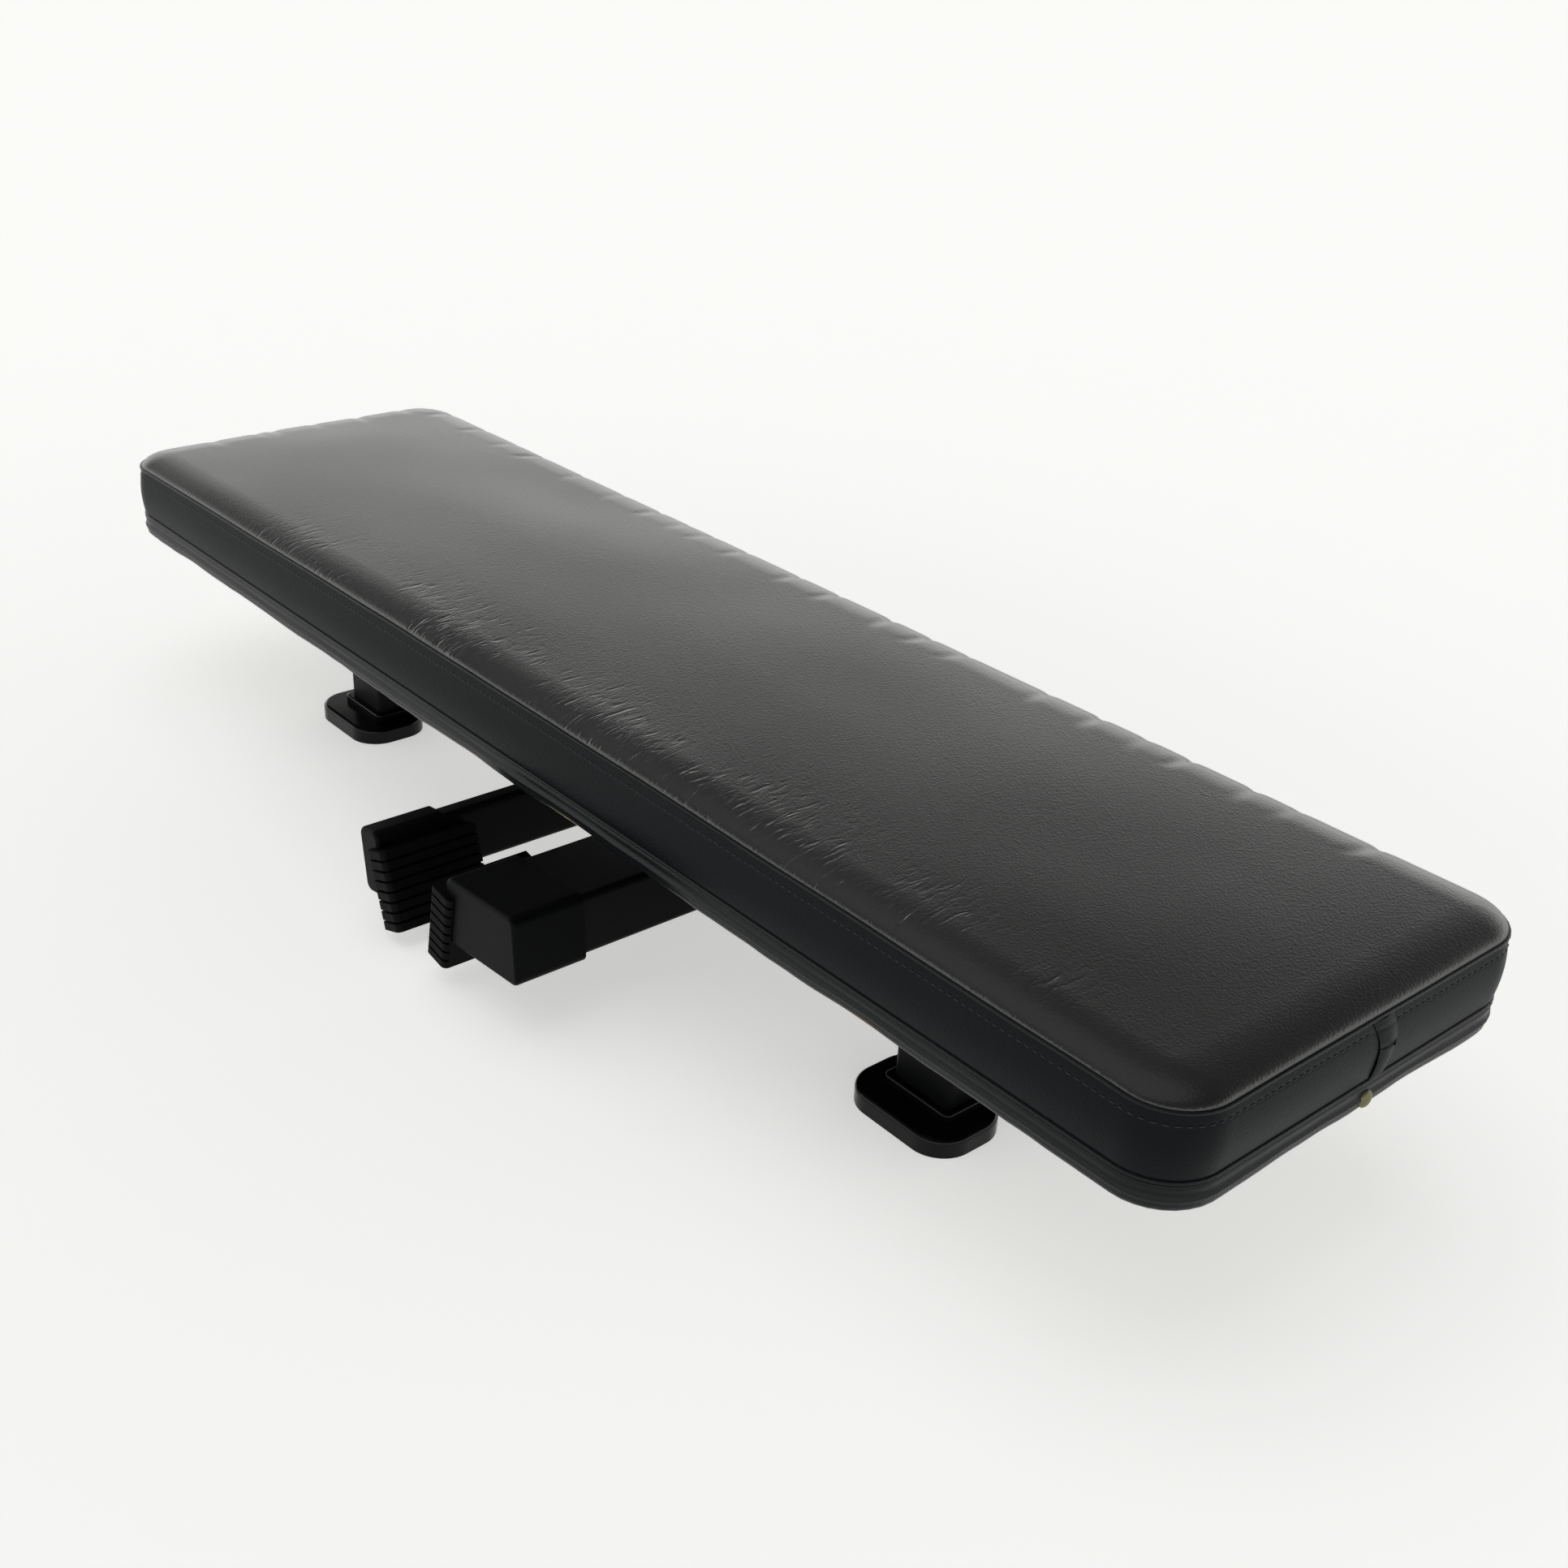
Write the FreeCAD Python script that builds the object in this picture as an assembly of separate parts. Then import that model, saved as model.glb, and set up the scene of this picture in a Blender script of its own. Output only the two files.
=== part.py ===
"""Low folding bench: a padded top on four stub feet, with two T-shaped legs folded under it.

Units are millimetres. +X runs along the pad towards the end with the cover's closing flap,
+Y is to the left of someone who looks along +X, +Z is up and z = 0 is the floor.
The origin lies on the floor, midway along and across the pad.
"""
import FreeCAD, Part
import math
import os

V = FreeCAD.Vector
X_AXIS = V(1, 0, 0)
Y_AXIS = V(0, 1, 0)
Z_AXIS = V(0, 0, 1)
ORIGIN = V(0, 0, 0)

# ---- pad --------------------------------------------------------------------------------------------
PAD_LENGTH = 1100.0         # over the piping
PAD_WIDTH = 290.0
PAD_CORNER = 35.0           # plan radius of the four corners
PAD_UNDERSIDE = 114.0       # height of the wrapped board above the floor
BOARD_THICKNESS = 15.0
FOAM_THICKNESS = 48.0
FOAM_SHOULDER = 11.0        # rounding of the foam's top edge
VINYL = 1.2                 # thickness of the sewn cover
PIPING_PROUD = 1.5          # how far a piped seam stands out of the cover
PIPING_HEIGHT = 2.6
TOP_SEAM_DROP = 10.0        # from the crown down to the top seam
WRAP_TURN_IN = 30.0         # width of the wrap that is folded under the board
WRAP_TRIM = 10.0            # a wide wrap is trimmed this far short of the mounting plates
LINING = 0.8
LINING_STEP = 6.0           # from the wrap's inner edge to the lining's edge
LINING_CLEARANCE = 1.0      # round each mounting plate
LINING_CORNER = 6.0

# ---- staples and flap tack --------------------------------------------------------------------------
STAPLE_CROWN = 10.0
STAPLE_WIRE = 0.7
STAPLE_LEG = 8.0
STAPLE_PITCH = 47.0
TACK_Y = 8.0
TACK_RADIUS = 4.6
TACK_DOME = 1.4
TACK_MARGIN = 0.6           # from the tack down to the pad's underside

# ---- stub feet and their mounting plates ------------------------------------------------------------
FOOT_SPREAD = 0.29 * PAD_LENGTH     # from mid-length to the middle of each stub foot
PLATE_REACH_X = 42.5        # plate beyond the posts, along and across the pad
PLATE_REACH_Y = 24.0
PLATE_THICKNESS = 4.0
PLATE_CORNER = 12.0
PLATE_BOLT_INSET_X = 15.0   # from the plate's edges to its bolts
PLATE_BOLT_INSET_Y = 12.0
BOLT_RADIUS = 4.0
BOLT_HOLE_CLEARANCE = 0.25
BOLT_HEAD_RADIUS = 7.0
BOLT_HEAD_HEIGHT = 4.4
BOLT_HEAD_ROUND = 2.6
BOLT_SOCKET_RADIUS = 2.5
WASHER_RADIUS = 8.0
WASHER_THICKNESS = 1.6
TEE_FLANGE_RADIUS = 11.0
TEE_FLANGE_THICKNESS = 1.5
TEE_BARREL_RADIUS = 5.2
TEE_BARREL_LENGTH = 11.0
THREAD_CLEARANCE = 0.05
POST_LENGTH = 45.0          # along X
POST_DEPTH = 33.0           # along Y
POST_WALL = 2.5
POST_CORNER = 4.0
GLIDE_REACH_X = 19.5        # foot beyond its post, along the pad
GLIDE_REACH_OUT = 24.0      # and across it, outwards and inwards
GLIDE_REACH_IN = 2.5
GLIDE_THICKNESS = 12.0
GLIDE_FLOOR = 4.0           # rubber left under the post's end
GLIDE_CORNER = 22.0
GLIDE_EDGE = 3.0
COLLAR_WALL = 4.5
COLLAR_INNER_WALL = 2.4
COLLAR_HEIGHT = 5.0
COLLAR_CORNER = 5.0
COLLAR_ROUND = 1.5
POST_SEAT_CLEARANCE = 0.1

# ---- leg pivots -------------------------------------------------------------------------------------
HINGE_DROP = 50.0           # from the pad's underside to the pivot
FRONT_HINGE_X = FOOT_SPREAD
REAR_HINGE_X = -FOOT_SPREAD - 6.0
PIVOT_RADIUS = 6.0
PIVOT_CLEARANCE = 0.05
PIVOT_HOLE_CLEARANCE = 0.1
PIVOT_HEAD_FLATS = 18.0
PIVOT_HEAD_HEIGHT = 7.5
PIVOT_NUT_HEIGHT = 11.0
PIVOT_TAIL = 3.0            # thread left beyond the nut
PIVOT_WASHER_RADIUS = 11.5
PIVOT_WASHER_THICKNESS = 2.0
BUSH_WALL = 2.0
BUSH_SLEEVE = 10.0
BUSH_FLANGE_RADIUS = 12.0
BUSH_FLANGE = 3.7           # thickness of the flange between leg and post
SIDE_PLAY = 0.3             # between a bush flange and the post beside it

# ---- folding legs -----------------------------------------------------------------------------------
STAND_HEIGHT = FOOT_SPREAD - 37.0   # pivot to sole, measured square to the sole
LEG_WIDTH = 50.0            # along Y
LEG_HEIGHT = 40.0
LEG_WALL = 2.0
LEG_CORNER = 4.0
LEG_OVERRUN = 22.0          # tube past the pivot
PLUG_HEAD = 3.0
PLUG_ROUND = 1.2
PLUG_INSERT = 10.0
PLUG_CLEARANCE = 0.1
FOOT_BAR_HALF = 203.5       # half the steel foot bar
FOOT_BAR_HEIGHT = 40.0
FOOT_BAR_WALL = 2.0
FOOT_BAR_CORNER = 4.0
CAP_WALL = 3.0
CAP_END_WALL = 4.0
CAP_LENGTH = 50.0
CAP_CORNER = 6.0
CAP_END_ROUND = 2.5
CAP_CLEARANCE = 0.1
SOLE_GAP = 0.1              # between a sole and the cap it sits on
SOLE_HEIGHT = FOOT_BAR_HEIGHT + 14.0
SOLE_LENGTH = 70.0
SOLE_OVERHANG = 4.0         # sole past the cap's end
SOLE_BODY = 22.0            # depth of rubber before the cap is cut out of it
SOLE_CORNER = 4.0
RIB_COUNT = 8
RIB_GAP = 1.7
RIB_DEPTH = 3.4
LEG_PLACES = {
    # bar_back is from the sole's face back to the bar's middle, bar_z and sole_z are heights of
    # the folded bar and sole, and lean is how far past upright the open leg stands
    "front": {"hinge_x": FRONT_HINGE_X, "bar_depth": 70.0, "bar_back": 54.9, "bar_z": 59.0,
              "pitch": 4.5, "lean": 10.0, "sole_z": 44.0},
    "rear": {"hinge_x": REAR_HINGE_X, "bar_depth": 17.0, "bar_back": 30.2, "bar_z": 46.0,
             "pitch": -8.0, "lean": 19.0, "sole_z": 38.0},
}

# ---- pull pins that lock the legs -------------------------------------------------------------------
LOCK_U = 12.0               # from the pivot towards mid-length
LOCK_RISE = 0.35 * LEG_HEIGHT       # above the pivot
LOCK_RADIUS = 4.0
LOCK_CLEARANCE = 0.1
LOCK_TIP_GAP = 0.6          # between the resting tip and the leg's cheek
LOCK_HOLE_RADIUS = 4.3
LOCK_COLLAR_RADIUS = 7.0
LOCK_COLLAR_WIDTH = 3.0
LOCK_COLLAR_GAP = 1.5       # from the post's inner wall to the collar
HOUSING_RADIUS = 6.3
HOUSING_LENGTH = 18.0
HOUSING_ROUND = 1.0
KNOB_RADIUS = 13.0
KNOB_LENGTH = 20.0
KNOB_NECK_RADIUS = 8.0
KNOB_NECK = 6.0
KNOB_ROUND = 4.0
KNOB_GAP = 0.5
SPRING_RADIUS = 5.6
SPRING_WIRE = 0.6
SPRING_TURNS = 6
SPRING_STEPS = 16           # straight runs in each turn of the coil

# ---- sizes that follow ------------------------------------------------------------------------------
BOARD_BOTTOM = PAD_UNDERSIDE + VINYL
BOARD_TOP = BOARD_BOTTOM + BOARD_THICKNESS
FOAM_TOP = BOARD_TOP + FOAM_THICKNESS
CROWN = FOAM_TOP + VINYL
TOP_SEAM = CROWN - TOP_SEAM_DROP
PLATE_BOTTOM = BOARD_BOTTOM - PLATE_THICKNESS
HINGE_Z = PAD_UNDERSIDE - HINGE_DROP
COVER_LENGTH = PAD_LENGTH - 2 * PIPING_PROUD
COVER_WIDTH = PAD_WIDTH - 2 * PIPING_PROUD
COVER_CORNER = PAD_CORNER - PIPING_PROUD
CHEEK_Y = LEG_WIDTH / 2
POST_INNER_Y = CHEEK_Y + BUSH_FLANGE + SIDE_PLAY
POST_OUTER_Y = POST_INNER_Y + POST_DEPTH
POST_MID_Y = POST_INNER_Y + POST_DEPTH / 2
GLIDE_INNER_Y = POST_INNER_Y - GLIDE_REACH_IN
GLIDE_OUTER_Y = POST_OUTER_Y + GLIDE_REACH_OUT
PLATE_LENGTH = POST_LENGTH + 2 * PLATE_REACH_X
PLATE_WIDTH = 2 * (POST_OUTER_Y + PLATE_REACH_Y)
TURN_IN = min(WRAP_TURN_IN, (PAD_WIDTH - PLATE_WIDTH) / 2 - WRAP_TRIM)
LINING_MARGIN = TURN_IN + LINING_STEP
CAP_OUTER_END = FOOT_BAR_HALF + CAP_END_WALL
SIDES = {"left": 1, "right": -1}
ENDS = {"front": 1, "rear": -1}


def rounded_block(length, width, height, corner, base, mid_x=0.0, mid_y=0.0):
    """An upright block with rounded plan corners, centred on mid_x, mid_y and standing on base."""
    block = Part.makeBox(length, width, height, V(mid_x - length / 2, mid_y - width / 2, base))
    uprights = [edge for edge in block.Edges if abs(edge.tangentAt(edge.FirstParameter).z) > 0.99]
    return block.makeFillet(corner, uprights)


def edges_at(shape, level, axis="z"):
    """The edges of a shape whose bounding box lies flat at one level along an axis."""
    low = axis.upper() + "Min"
    high = axis.upper() + "Max"
    found = []
    for edge in shape.Edges:
        box = edge.BoundBox
        if abs(getattr(box, low) - level) < 0.01 and abs(getattr(box, high) - level) < 0.01:
            found.append(edge)
    return found


def rod(radius, start, end, centre, axis=Y_AXIS):
    """A cylinder along an axis, between two stations of that axis."""
    base = V(centre.x, centre.y, centre.z) + axis * start
    return Part.makeCylinder(radius, end - start, base, axis)


def hexagon_bar(flats, start, end, centre):
    """A hexagon prism along Y, measured over its flats."""
    reach = flats / math.sqrt(3)
    corners = []
    for step in range(7):
        angle = math.radians(60 * step)
        corners.append(V(centre.x + reach * math.cos(angle), start, centre.z + reach * math.sin(angle)))
    return Part.Face(Part.makePolygon(corners)).extrude(V(0, end - start, 0))


def section_bar(depth, height, corner, start, end):
    """A bar along Y with a rounded rectangular section, centred on the Y axis."""
    bar = Part.makeBox(depth, end - start, height, V(-depth / 2, start, -height / 2))
    along = [edge for edge in bar.Edges if abs(edge.tangentAt(edge.FirstParameter).y) > 0.99]
    return bar.makeFillet(corner, along)


# ---- pad --------------------------------------------------------------------------------------------
def make_foam():
    foam = rounded_block(COVER_LENGTH - 2 * VINYL, COVER_WIDTH - 2 * VINYL, FOAM_THICKNESS,
                         COVER_CORNER - VINYL, BOARD_TOP)
    return foam.makeFillet(FOAM_SHOULDER, edges_at(foam, FOAM_TOP))


def make_cover(foam):
    """Top panel and side strip, sewn into a cap that is open underneath."""
    outer = rounded_block(COVER_LENGTH, COVER_WIDTH, CROWN - BOARD_TOP, COVER_CORNER, BOARD_TOP)
    outer = outer.makeFillet(FOAM_SHOULDER + VINYL, edges_at(outer, CROWN))
    return outer.cut(foam)


def make_piping(level):
    """A piped seam: a ring that stands proud of the cover, its middle at the given level."""
    base = level - PIPING_HEIGHT / 2
    ring = rounded_block(PAD_LENGTH, PAD_WIDTH, PIPING_HEIGHT, PAD_CORNER, base)
    inside = rounded_block(COVER_LENGTH, COVER_WIDTH, PIPING_HEIGHT, COVER_CORNER, base)
    return ring.cut(inside)


def make_board():
    """Plywood base, drilled and counterbored for the tee nuts."""
    board = rounded_block(COVER_LENGTH - 2 * VINYL, COVER_WIDTH - 2 * VINYL, BOARD_THICKNESS,
                          COVER_CORNER - VINYL, BOARD_BOTTOM)
    for spot in bolt_spots():
        board = board.cut(rod(TEE_BARREL_RADIUS, BOARD_BOTTOM, BOARD_TOP, spot, Z_AXIS))
        board = board.cut(rod(TEE_FLANGE_RADIUS, BOARD_TOP - TEE_FLANGE_THICKNESS, BOARD_TOP, spot, Z_AXIS))
    return board


def make_wrap():
    """Vinyl pulled round the board's edge and folded under it."""
    top = BOARD_TOP - PIPING_HEIGHT / 2
    wrap = rounded_block(COVER_LENGTH, COVER_WIDTH, top - PAD_UNDERSIDE, COVER_CORNER, PAD_UNDERSIDE)
    hollow = rounded_block(COVER_LENGTH - 2 * VINYL, COVER_WIDTH - 2 * VINYL, BOARD_THICKNESS,
                           COVER_CORNER - VINYL, BOARD_BOTTOM)
    window = rounded_block(COVER_LENGTH - 2 * TURN_IN, COVER_WIDTH - 2 * TURN_IN,
                           VINYL, COVER_CORNER - TURN_IN, PAD_UNDERSIDE)
    return wrap.cut(hollow).cut(window)


def make_lining():
    """Thin black cloth under the board, cut out round the mounting plates."""
    sheet = rounded_block(PAD_LENGTH - 2 * LINING_MARGIN, PAD_WIDTH - 2 * LINING_MARGIN, LINING,
                          LINING_CORNER, BOARD_BOTTOM - LINING)
    for sign in ENDS.values():
        sheet = sheet.cut(rounded_block(PLATE_LENGTH + 2 * LINING_CLEARANCE,
                                        PLATE_WIDTH + 2 * LINING_CLEARANCE, LINING,
                                        PLATE_CORNER + LINING_CLEARANCE, BOARD_BOTTOM - LINING,
                                        sign * FOOT_SPREAD))
    return sheet


def staple(x, y, along_x):
    """One wire staple, its crown under the wrap and its two legs driven up into the board."""
    crown_x = STAPLE_CROWN if along_x else STAPLE_WIRE
    crown_y = STAPLE_WIRE if along_x else STAPLE_CROWN
    wire = Part.makeBox(crown_x, crown_y, STAPLE_WIRE,
                        V(x - crown_x / 2, y - crown_y / 2, PAD_UNDERSIDE - STAPLE_WIRE))
    for sign in (-1, 1):
        offset = sign * (STAPLE_CROWN - STAPLE_WIRE) / 2
        leg_x = x + (offset if along_x else 0)
        leg_y = y + (0 if along_x else offset)
        corner = V(leg_x - STAPLE_WIRE / 2, leg_y - STAPLE_WIRE / 2, PAD_UNDERSIDE - STAPLE_WIRE)
        wire = wire.fuse(Part.makeBox(STAPLE_WIRE, STAPLE_WIRE, STAPLE_LEG, corner))
    return wire.removeSplitter()


def spread(length):
    """Evenly spaced stations along a side, at about the staple pitch."""
    count = int(length / STAPLE_PITCH)
    return [(index - (count - 1) / 2) * length / count for index in range(count)]


def make_staples():
    staples = []
    for sign in (-1, 1):
        side_y = sign * (PAD_WIDTH - TURN_IN) / 2
        end_x = sign * (PAD_LENGTH - TURN_IN) / 2
        staples += [staple(x, side_y, True) for x in spread(PAD_LENGTH - 2 * PAD_CORNER)]
        staples += [staple(end_x, y, False) for y in spread(PAD_WIDTH - 2 * PAD_CORNER)]
    return Part.Compound(staples)


def make_tack():
    """Domed tack that pins the cover's closing flap to the board's edge at the front end."""
    face_x = COVER_LENGTH / 2
    height = PAD_UNDERSIDE + TACK_RADIUS + TACK_MARGIN
    reach = (TACK_RADIUS ** 2 + TACK_DOME ** 2) / (2 * TACK_DOME)
    ball = Part.makeSphere(reach, V(face_x + TACK_DOME - reach, TACK_Y, height))
    keep = Part.makeBox(TACK_DOME, 2 * TACK_RADIUS, 2 * TACK_RADIUS,
                        V(face_x, TACK_Y - TACK_RADIUS, height - TACK_RADIUS))
    return ball.common(keep)


# ---- mounting plates, posts and stub feet -----------------------------------------------------------
def bolt_spots():
    """The eight plate bolts, as points on the floor plane."""
    spots = []
    for end in ENDS.values():
        for side_x in (-1, 1):
            for side_y in (-1, 1):
                spots.append(V(end * FOOT_SPREAD + side_x * (PLATE_LENGTH / 2 - PLATE_BOLT_INSET_X),
                               side_y * (PLATE_WIDTH / 2 - PLATE_BOLT_INSET_Y), 0))
    return spots


def make_plate(end):
    plate = rounded_block(PLATE_LENGTH, PLATE_WIDTH, PLATE_THICKNESS, PLATE_CORNER,
                          PLATE_BOTTOM, ENDS[end] * FOOT_SPREAD)
    for spot in bolt_spots():
        plate = plate.cut(rod(BOLT_RADIUS + BOLT_HOLE_CLEARANCE, PLATE_BOTTOM, BOARD_BOTTOM, spot, Z_AXIS))
    return plate


def make_plate_bolts():
    """Button-head bolts, each with a domed head and a round driving socket."""
    bolts = []
    seat = PLATE_BOTTOM - WASHER_THICKNESS
    crown = seat - BOLT_HEAD_HEIGHT
    for spot in bolt_spots():
        head = rod(BOLT_HEAD_RADIUS, crown, seat, spot, Z_AXIS)
        head = head.makeFillet(BOLT_HEAD_ROUND, edges_at(head, crown))
        socket = rod(BOLT_SOCKET_RADIUS, crown, crown + BOLT_HEAD_HEIGHT / 2, spot, Z_AXIS)
        shank = rod(BOLT_RADIUS, seat, BOARD_TOP - TEE_FLANGE_THICKNESS, spot, Z_AXIS)
        bolts.append(head.cut(socket).fuse(shank))
    return Part.Compound(bolts)


def make_plate_washers():
    washers = []
    for spot in bolt_spots():
        disc = rod(WASHER_RADIUS, PLATE_BOTTOM - WASHER_THICKNESS, PLATE_BOTTOM, spot, Z_AXIS)
        hole = rod(BOLT_RADIUS + BOLT_HOLE_CLEARANCE, PLATE_BOTTOM - WASHER_THICKNESS, PLATE_BOTTOM,
                   spot, Z_AXIS)
        washers.append(disc.cut(hole))
    return Part.Compound(washers)


def make_tee_nuts():
    nuts = []
    for spot in bolt_spots():
        flange = rod(TEE_FLANGE_RADIUS, BOARD_TOP - TEE_FLANGE_THICKNESS, BOARD_TOP, spot, Z_AXIS)
        barrel = rod(TEE_BARREL_RADIUS, BOARD_TOP - TEE_BARREL_LENGTH, BOARD_TOP - TEE_FLANGE_THICKNESS,
                     spot, Z_AXIS)
        thread = rod(BOLT_RADIUS + THREAD_CLEARANCE, BOARD_TOP - TEE_BARREL_LENGTH, BOARD_TOP, spot, Z_AXIS)
        nuts.append(flange.fuse(barrel).cut(thread))
    return Part.Compound(nuts)


def hinge_point(end):
    return V(LEG_PLACES[end]["hinge_x"], 0, HINGE_Z)


def lock_point(end):
    """Axis of the pull pin: inboard of the pivot and above it."""
    pivot = hinge_point(end)
    return V(pivot.x - ENDS[end] * LOCK_U, 0, pivot.z + LOCK_RISE)


def make_post(end, side):
    """Rectangular tube from plate to foot, drilled for the pivot and, on the left, the pull pin."""
    mid_x = ENDS[end] * FOOT_SPREAD
    mid_y = SIDES[side] * POST_MID_Y
    height = PLATE_BOTTOM - GLIDE_FLOOR
    post = rounded_block(POST_LENGTH, POST_DEPTH, height, POST_CORNER, GLIDE_FLOOR, mid_x, mid_y)
    bore = rounded_block(POST_LENGTH - 2 * POST_WALL, POST_DEPTH - 2 * POST_WALL, height,
                         POST_CORNER - POST_WALL, GLIDE_FLOOR, mid_x, mid_y)
    post = post.cut(bore)
    post = post.cut(rod(PIVOT_RADIUS + PIVOT_HOLE_CLEARANCE, -POST_OUTER_Y, POST_OUTER_Y, hinge_point(end)))
    if side == "left":
        post = post.cut(rod(LOCK_RADIUS + LOCK_CLEARANCE, POST_INNER_Y, POST_OUTER_Y, lock_point(end)))
    return post


def make_glide(end, side):
    """Moulded rubber foot: a rounded plate with a raised collar that grips the post."""
    mid_x = ENDS[end] * FOOT_SPREAD
    sign = SIDES[side]
    width = GLIDE_OUTER_Y - GLIDE_INNER_Y
    plate = rounded_block(POST_LENGTH + 2 * GLIDE_REACH_X, width, GLIDE_THICKNESS, GLIDE_CORNER, 0, mid_x,
                          sign * (GLIDE_OUTER_Y + GLIDE_INNER_Y) / 2)
    plate = plate.makeFillet(GLIDE_EDGE, edges_at(plate, GLIDE_THICKNESS))
    collar_inner = POST_INNER_Y - COLLAR_INNER_WALL
    collar_outer = POST_OUTER_Y + COLLAR_WALL
    collar = rounded_block(POST_LENGTH + 2 * COLLAR_WALL, collar_outer - collar_inner,
                           COLLAR_HEIGHT + GLIDE_EDGE, COLLAR_CORNER, GLIDE_THICKNESS - GLIDE_EDGE, mid_x,
                           sign * (collar_outer + collar_inner) / 2)
    top = GLIDE_THICKNESS + COLLAR_HEIGHT
    collar = collar.makeFillet(COLLAR_ROUND, edges_at(collar, top))
    pocket = rounded_block(POST_LENGTH + 2 * POST_SEAT_CLEARANCE, POST_DEPTH + 2 * POST_SEAT_CLEARANCE,
                           top - GLIDE_FLOOR, POST_CORNER, GLIDE_FLOOR, mid_x, sign * POST_MID_Y)
    return plate.fuse(collar).cut(pocket)


# ---- pivots -----------------------------------------------------------------------------------------
def make_pivot_bolt(end):
    """Hexagon-head bolt through both posts and the leg, its head on the right."""
    seat = POST_OUTER_Y + PIVOT_WASHER_THICKNESS
    centre = hinge_point(end)
    head = hexagon_bar(PIVOT_HEAD_FLATS, -seat - PIVOT_HEAD_HEIGHT, -seat, centre)
    return head.fuse(rod(PIVOT_RADIUS, -seat, seat + PIVOT_NUT_HEIGHT + PIVOT_TAIL, centre))


def make_pivot_nut(end):
    seat = POST_OUTER_Y + PIVOT_WASHER_THICKNESS
    centre = hinge_point(end)
    nut = hexagon_bar(PIVOT_HEAD_FLATS, seat, seat + PIVOT_NUT_HEIGHT, centre)
    return nut.cut(rod(PIVOT_RADIUS + THREAD_CLEARANCE, seat, seat + PIVOT_NUT_HEIGHT, centre))


def make_pivot_washers():
    washers = []
    for end in ENDS:
        centre = hinge_point(end)
        for start in (POST_OUTER_Y, -POST_OUTER_Y - PIVOT_WASHER_THICKNESS):
            disc = rod(PIVOT_WASHER_RADIUS, start, start + PIVOT_WASHER_THICKNESS, centre)
            hole = rod(PIVOT_RADIUS + PIVOT_HOLE_CLEARANCE, start, start + PIVOT_WASHER_THICKNESS, centre)
            washers.append(disc.cut(hole))
    return Part.Compound(washers)


def make_bushes(end):
    """Two flanged nylon bushes pressed into the leg's cheeks."""
    centre = hinge_point(end)
    bore = PIVOT_RADIUS + PIVOT_CLEARANCE
    flange_end = POST_INNER_Y - SIDE_PLAY
    bushes = []
    for start, flat_start, flat_end, stop in ((CHEEK_Y - BUSH_SLEEVE, CHEEK_Y, flange_end, flange_end),
                                              (-flange_end, -flange_end, -CHEEK_Y, -CHEEK_Y + BUSH_SLEEVE)):
        sleeve = rod(bore + BUSH_WALL, start, stop, centre)
        flange = rod(BUSH_FLANGE_RADIUS, flat_start, flat_end, centre)
        bushes.append(sleeve.fuse(flange).cut(rod(bore, start, stop, centre)))
    return Part.Compound(bushes)


# ---- folding legs -----------------------------------------------------------------------------------
def sole_reach(end):
    """Distance along X from the pivot to the middle of the folded sole's face."""
    place = LEG_PLACES[end]
    lean = math.radians(place["lean"])
    drop = place["sole_z"] - HINGE_Z
    return (STAND_HEIGHT - drop * math.sin(lean)) / math.cos(lean)


def bar_middle(end):
    """Middle of the folded foot bar."""
    place = LEG_PLACES[end]
    return V(place["hinge_x"] - ENDS[end] * (sole_reach(end) - place["bar_back"]), 0, place["bar_z"])


def place_bar(shape, end):
    """Turn a bar made along the Y axis to its pitch, and move it to the folded foot bar's middle."""
    turned = shape.copy()
    turned.rotate(ORIGIN, Y_AXIS, -ENDS[end] * LEG_PLACES[end]["pitch"])
    turned.translate(bar_middle(end))
    return turned


def make_foot_bar(end):
    depth = LEG_PLACES[end]["bar_depth"]
    bar = section_bar(depth, FOOT_BAR_HEIGHT, FOOT_BAR_CORNER, -FOOT_BAR_HALF, FOOT_BAR_HALF)
    bore = section_bar(depth - 2 * FOOT_BAR_WALL, FOOT_BAR_HEIGHT - 2 * FOOT_BAR_WALL,
                       FOOT_BAR_CORNER - FOOT_BAR_WALL, -FOOT_BAR_HALF, FOOT_BAR_HALF)
    return place_bar(bar.cut(bore), end)


def cap_block(end, side, grow=0.0):
    """The outer block of an end cap, before its socket is cut; grow thickens it for a clearance cut."""
    depth = LEG_PLACES[end]["bar_depth"] + 2 * (CAP_WALL + grow)
    height = FOOT_BAR_HEIGHT + 2 * (CAP_WALL + grow)
    stations = sorted((SIDES[side] * (CAP_OUTER_END + grow), SIDES[side] * (CAP_OUTER_END - CAP_LENGTH)))
    return section_bar(depth, height, CAP_CORNER, *stations)


def make_cap(end, side):
    """Moulded cap pushed over the foot bar's end."""
    block = cap_block(end, side)
    block = block.makeFillet(CAP_END_ROUND, edges_at(block, SIDES[side] * CAP_OUTER_END, "y"))
    stations = sorted((SIDES[side] * FOOT_BAR_HALF, SIDES[side] * (CAP_OUTER_END - CAP_LENGTH)))
    socket = section_bar(LEG_PLACES[end]["bar_depth"] + 2 * CAP_CLEARANCE,
                         FOOT_BAR_HEIGHT + 2 * CAP_CLEARANCE, FOOT_BAR_CORNER, *stations)
    return place_bar(block.cut(socket), end)


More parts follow.
